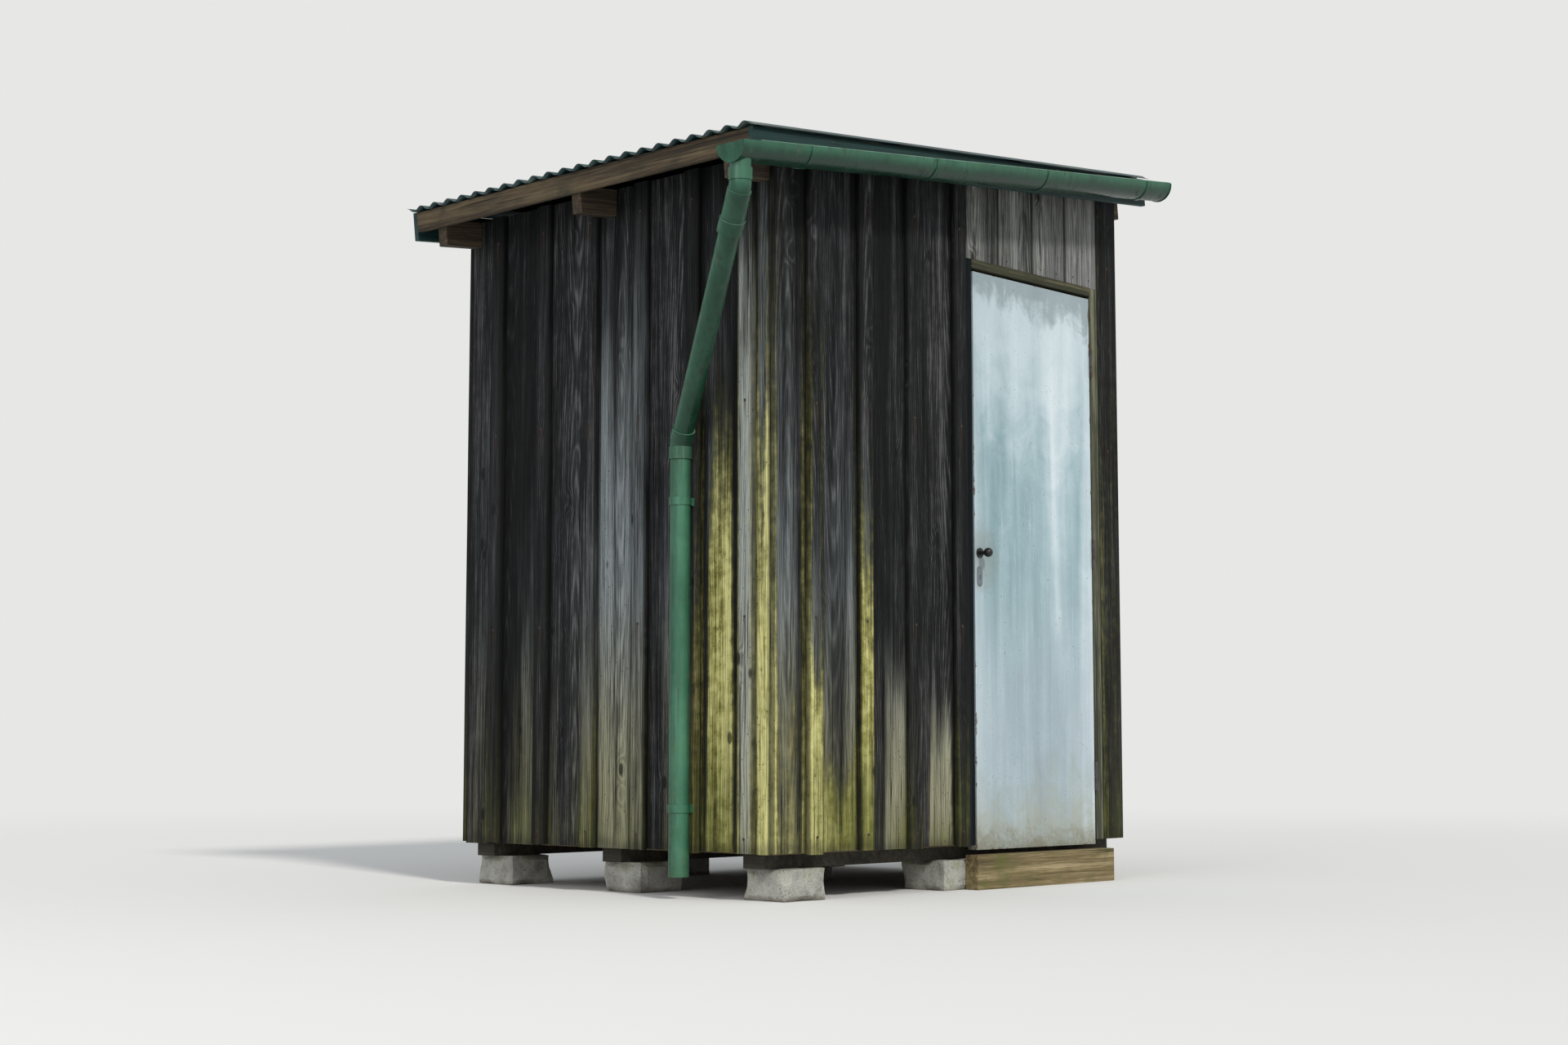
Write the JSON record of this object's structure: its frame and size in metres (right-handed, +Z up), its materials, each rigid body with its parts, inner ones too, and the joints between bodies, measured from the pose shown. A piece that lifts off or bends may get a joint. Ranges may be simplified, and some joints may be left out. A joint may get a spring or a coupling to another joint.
{
  "type": "wooden outhouse",
  "caption": "Small board-and-batten outhouse under a lean-to corrugated roof, with a hinged flush door, gutter and downpipe.",
  "frame": {"origin": "on the ground under the middle of the whole object's outline", "axes": "+Z up, the front with the door faces -Y, and the roof falls towards -X"},
  "size_m": [2.2776, 1.818, 2.6078],
  "materials": {
    "concrete": "rough, weathered",
    "underfloor_timber": "rough, dark",
    "floor_boards": "worn, bare",
    "sill_timber": "weathered, bare",
    "frame_timber": "rough sawn",
    "dark_boards": "dark stain, weathered, algae at the foot",
    "grey_boards": "bare, grey",
    "grey_timber": "bare, grey",
    "brown_timber": "weathered brown",
    "green_paint": "dull green paint",
    "roof_iron": "dull, weathered",
    "green_plastic": "satin",
    "hinge_steel": "dull, a little rust",
    "door_paint": "pale satin paint, stained",
    "black_metal": "satin black",
    "plate_steel": "dull grey"
  },
  "bodies": {
    "root": {"foundation_blocks": "concrete", "bearers": "underfloor_timber", "floor_deck": "floor_boards", "door_sill": "sill_timber", "corner_posts": "frame_timber", "left_rails": "frame_timber", "right_rails": "frame_timber", "back_rails": "frame_timber", "front_rails": "frame_timber", "left_jamb": "dark_boards", "right_jamb": "grey_timber", "door_head": "brown_timber", "door_stops": "grey_timber", "rafters": "frame_timber", "purlins": "frame_timber", "low_eave_board": "brown_timber", "high_eave_board": "brown_timber", "front_barge": "green_paint", "back_barge": "green_paint", "roof_sheet_front": "roof_iron", "roof_sheet_middle": "roof_iron", "roof_sheet_back": "roof_iron", "left_wall": "dark_boards", "right_wall": "dark_boards", "back_wall": "dark_boards", "front_wall": "dark_boards", "front_corner_board": "dark_boards", "over_door_wall": "grey_boards", "left_battens": "dark_boards", "right_battens": "dark_boards", "back_battens": "dark_boards", "front_battens": "dark_boards", "gutter": "green_plastic", "gutter_stop_end": "green_plastic", "gutter_brackets": "green_plastic", "gutter_outlet": "green_plastic", "top_bend": "green_plastic", "downpipe_upper": "green_plastic", "knee_bend": "green_plastic", "downpipe_lower": "green_plastic", "pipe_brackets": "green_plastic", "hinge_jamb_leaves": "hinge_steel", "hinge_pins": "hinge_steel"},
    "door": {"door_slab": "door_paint", "hinge_door_leaves": "hinge_steel", "knob_roses": "black_metal", "key_plate": "plate_steel"},
    "knob": {"knob": "black_metal"}
  },
  "joints": [
    {"name": "door_hinge", "type": "hinge", "parent": "root", "child": "door", "pos_m": [0.89207, -0.702, 0.13], "axis": [0, 0, 1], "range_deg": [0, 105]},
    {"name": "knob_turn", "type": "hinge", "parent": "door", "child": "knob", "pos_m": [0.23457, -0.696, 1.135], "axis": [0, 1, 0], "range_deg": [-60, 60]}
  ]
}
